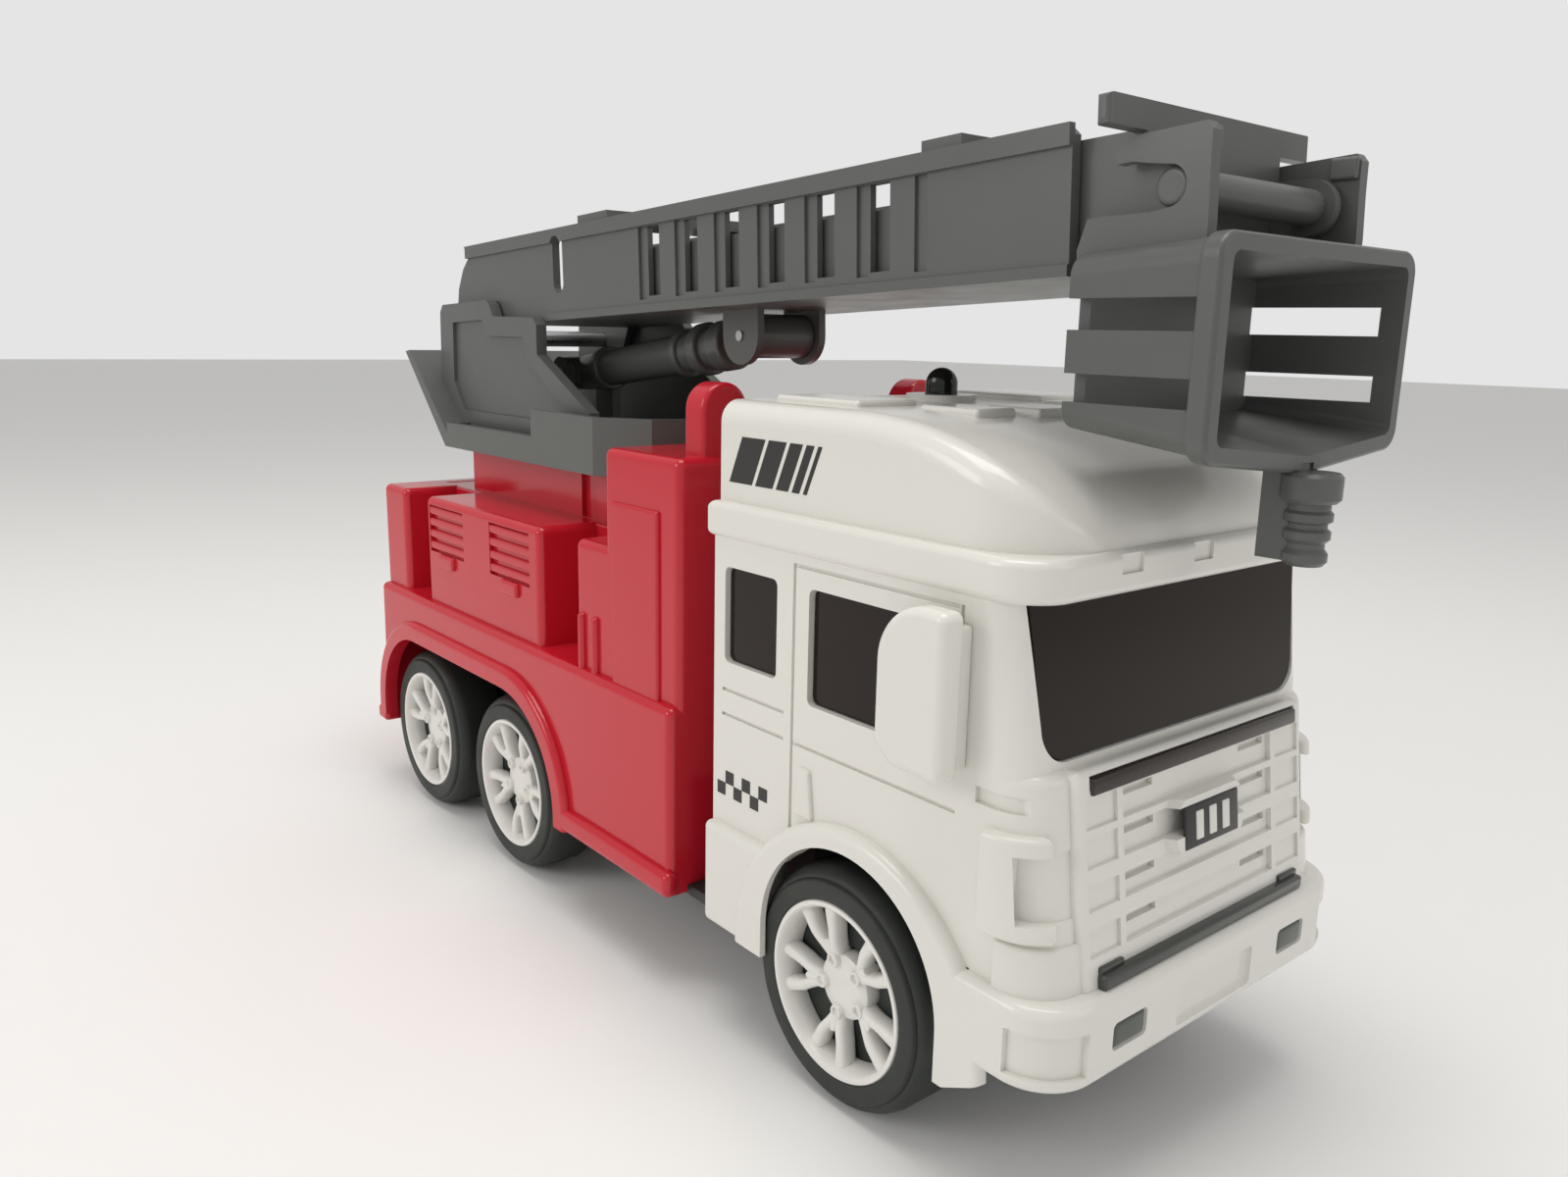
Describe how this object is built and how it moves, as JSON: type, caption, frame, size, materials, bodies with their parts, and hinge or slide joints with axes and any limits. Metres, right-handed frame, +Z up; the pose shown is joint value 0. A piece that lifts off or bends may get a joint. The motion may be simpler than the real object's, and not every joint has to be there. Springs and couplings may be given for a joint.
{
  "type": "toy fire engine",
  "caption": "Toy fire engine with a white cab, red body, friction drive, push-button siren and a turning, lifting, extending grey ladder boom that ends in a tilting rescue basket.",
  "frame": {"origin": "middle of the bounding box at the ground the tyres stand on", "axes": "+X forwards over the cab, +Y to the truck's left, +Z up"},
  "size_m": [0.2387, 0.0852, 0.1514],
  "materials": {
    "white_gloss": "glossy",
    "red_gloss": "glossy",
    "grey_plastic": "satin",
    "smoked_window": "glossy",
    "black_plastic": "satin",
    "black_dome": "glossy",
    "white_rim": "satin",
    "tyre_rubber": "satin",
    "steel": "satin",
    "zinc_casting": "cast",
    "brass_strip": "bright",
    "green_board": "matte",
    "natural_nylon": "matte"
  },
  "bodies": {
    "chassis": {"chassis_base": "black_plastic", "body_screws": "steel", "cab_screws": "steel", "rear_body": "red_gloss", "cab_shell": "white_gloss", "window_insert": "smoked_window", "mirror_left": "white_gloss", "mirror_right": "white_gloss", "sound_board": "green_board", "tact_switch": "black_plastic", "board_screws": "steel", "button_spring": "steel", "speaker": "black_plastic", "button_cells": "steel", "battery_contact": "brass_strip", "battery_cover": "black_plastic", "battery_cover_screw": "steel", "gearbox_left": "natural_nylon", "gearbox_right": "natural_nylon", "idler_pin": "steel", "flywheel_pin": "steel"},
    "front_wheels": {"front_axle": "steel", "rim_front_left": "white_rim", "rim_front_right": "white_rim", "tyre_front_left": "tyre_rubber", "tyre_front_right": "tyre_rubber"},
    "mid_wheels": {"mid_axle": "steel", "rim_mid_left": "white_rim", "rim_mid_right": "white_rim", "tyre_mid_left": "tyre_rubber", "tyre_mid_right": "tyre_rubber", "drive_gear": "natural_nylon"},
    "rear_wheels": {"rear_axle": "steel", "rim_rear_left": "white_rim", "rim_rear_right": "white_rim", "tyre_rear_left": "tyre_rubber", "tyre_rear_right": "tyre_rubber"},
    "idler": {"idler_gear": "natural_nylon"},
    "flywheel": {"flywheel": "zinc_casting"},
    "button": {"siren_button": "black_dome"},
    "turret": {"turntable": "grey_plastic", "swivel_washer": "steel", "swivel_screw": "steel", "boom_pivot_pin": "steel", "cylinder_pin": "steel"},
    "boom": {"boom_outer": "grey_plastic", "ram_pin": "steel"},
    "ladder": {"boom_inner": "grey_plastic"},
    "rescue_basket": {"basket": "grey_plastic", "water_nozzle": "grey_plastic"},
    "cylinder": {"lift_cylinder": "grey_plastic"},
    "ram": {"lift_ram": "grey_plastic"}
  },
  "joints": [
    {"name": "front_spin", "type": "hinge", "parent": "chassis", "child": "front_wheels", "pos_m": [0.06608, 0, 0.02], "axis": [0, 1, 0], "continuous": true},
    {"name": "mid_spin", "type": "hinge", "parent": "chassis", "child": "mid_wheels", "pos_m": [-0.04492, 0, 0.02], "axis": [0, 1, 0], "continuous": true},
    {"name": "rear_spin", "type": "hinge", "parent": "chassis", "child": "rear_wheels", "pos_m": [-0.09172, 0, 0.02], "axis": [0, 1, 0], "continuous": true},
    {"name": "idler_spin", "type": "hinge", "parent": "chassis", "child": "idler", "pos_m": [-0.04259, 0, 0.03095], "axis": [0, 1, 0], "continuous": true},
    {"name": "flywheel_spin", "type": "hinge", "parent": "chassis", "child": "flywheel", "pos_m": [-0.04818, 0, 0.04146], "axis": [0, 1, 0], "continuous": true},
    {"name": "button_press", "type": "slide", "parent": "chassis", "child": "button", "axis": [0, 0, -1], "range_m": [0, 0.0012], "stiffness_N_per_m": 600, "springref_m": -0.001, "deforming": ["button_spring"]},
    {"name": "turntable_turn", "type": "hinge", "parent": "chassis", "child": "turret", "pos_m": [-0.05892, 0, 0.092], "axis": [0, 0, 1], "continuous": true},
    {"name": "boom_lift", "type": "hinge", "parent": "turret", "child": "boom", "pos_m": [-0.09192, 0, 0.119], "axis": [0, -1, 0], "range_deg": [0, 40]},
    {"name": "ladder_slide", "type": "slide", "parent": "boom", "child": "ladder", "axis": [0.999, 0, 0.0454], "range_m": [0, 0.08]},
    {"name": "basket_tilt", "type": "hinge", "parent": "ladder", "child": "rescue_basket", "pos_m": [0.10338, 0, 0.1403], "axis": [0, -1, 0], "range_deg": [0, 90]},
    {"name": "cylinder_tilt", "type": "hinge", "parent": "turret", "child": "cylinder", "pos_m": [-0.07192, 0, 0.111], "axis": [0, -1, 0], "range_deg": [0, 46.28]},
    {"name": "ram_slide", "type": "slide", "parent": "cylinder", "child": "ram", "axis": [0.9911, 0, 0.1329], "range_m": [0, 0.0117]}
  ],
  "couplings": [
    {"joint": "idler_spin", "follows": "mid_spin", "ratio": -2.2},
    {"joint": "flywheel_spin", "follows": "mid_spin", "ratio": 5.28},
    {"joint": "cylinder_tilt", "follows": "boom_lift", "ratio": 1.157},
    {"joint": "ram_slide", "follows": "boom_lift", "m_per_rad": 0.01676}
  ]
}
